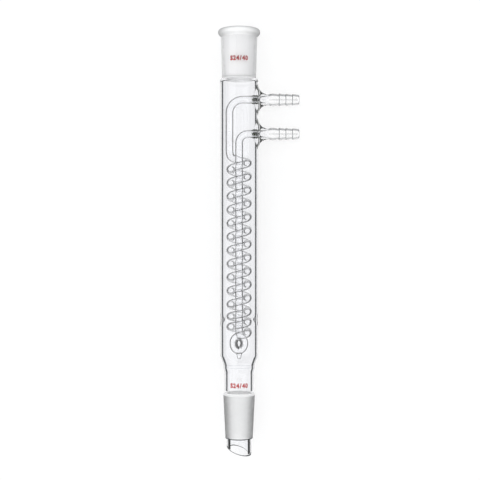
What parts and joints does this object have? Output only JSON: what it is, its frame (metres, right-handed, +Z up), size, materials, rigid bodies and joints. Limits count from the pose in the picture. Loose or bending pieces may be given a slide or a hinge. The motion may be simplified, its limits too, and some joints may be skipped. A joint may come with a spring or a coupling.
{
  "type": "reflux condenser",
  "caption": "Coil reflux condenser in clear glass: a jacket tube round a wound water tube, serrated hose connectors, a ground socket and a ground cone with a drip tip.",
  "frame": {"origin": "centre of the box's bottom face: the condenser lies on its side, on the plane z = 0", "axes": "+Y runs along the condenser from the drip tip to the socket, +Z is up, and the two hose connectors lean towards +X and down to the surface"},
  "size_m": [0.0606, 0.3224, 0.0318],
  "materials": {
    "clear_glass": "fire polished",
    "ground_glass": "finely ground"
  },
  "bodies": {
    "root": {"cone_joint": "ground_glass", "jacket_tube": "clear_glass", "socket_joint": "ground_glass", "upper_hose_connector": "clear_glass", "lower_hose_connector": "clear_glass", "cooling_coil": "clear_glass", "drip_nib": "clear_glass"}
  },
  "joints": []
}
